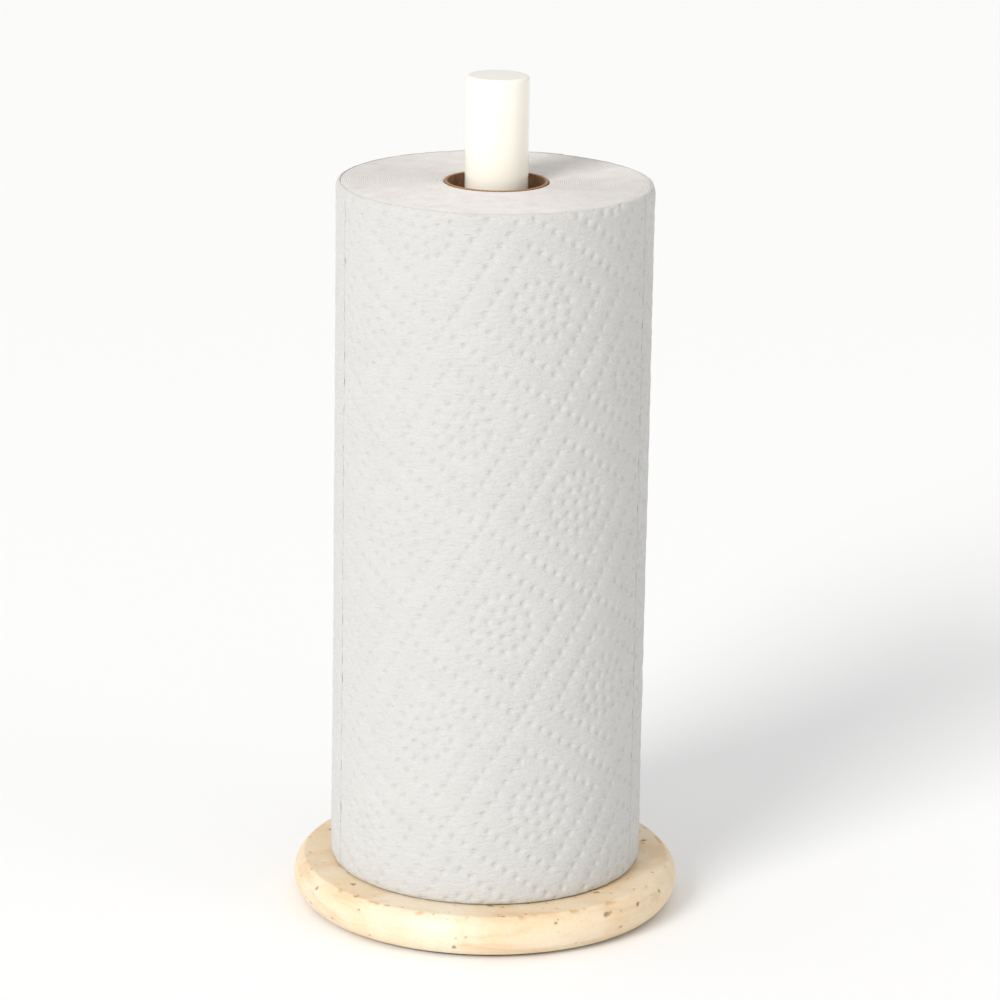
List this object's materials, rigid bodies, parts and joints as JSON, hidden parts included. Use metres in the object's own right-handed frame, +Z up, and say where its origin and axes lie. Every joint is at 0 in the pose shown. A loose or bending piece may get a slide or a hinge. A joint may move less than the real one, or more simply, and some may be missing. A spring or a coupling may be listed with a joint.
{
  "type": "paper towel holder",
  "caption": "Free-standing paper towel holder: a round travertine base with a swelling edge, a straight enamelled post, and a towel roll that spins on it and lifts off.",
  "frame": {"origin": "centre of the base pad's underside, on the surface the holder stands on", "axes": "+Z up along the post; X and Y are alike, because the base and post are round; the free end of the paper is at the back right, seen from -Y"},
  "size_m": [0.156, 0.156, 0.3394],
  "materials": {
    "travertine": "honed, with open pits and faint clouded bands",
    "pad_rubber": "matte",
    "zinc_steel": "zinc plated",
    "cream_enamel": "gloss enamel",
    "core_board": "matte kraft board",
    "wound_paper": "matte, the cut edges of the wound paper",
    "towel_paper": "matte, embossed with dots and rosettes"
  },
  "bodies": {
    "holder": {"base_pad": "pad_rubber", "base_stone": "travertine", "fixing_screw": "zinc_steel", "lock_washer": "zinc_steel", "flat_washer": "zinc_steel", "rubber_washer": "pad_rubber", "post_gasket": "pad_rubber", "post_plug": "zinc_steel", "post_tube": "cream_enamel"},
    "core": {"roll_core": "core_board"},
    "paper": {"paper_winding": "wound_paper", "outer_sheet_1": "towel_paper", "outer_sheet_2": "towel_paper", "outer_sheet_3": "towel_paper"}
  },
  "joints": [
    {"name": "roll_lift", "type": "slide", "parent": "holder", "child": "core", "axis": [0, 0, 1], "range_m": [0, 0.33]},
    {"name": "roll_spin", "type": "hinge", "parent": "core", "child": "paper", "pos_m": [0, 0, 0.15], "axis": [0, 0, 1], "continuous": true}
  ]
}
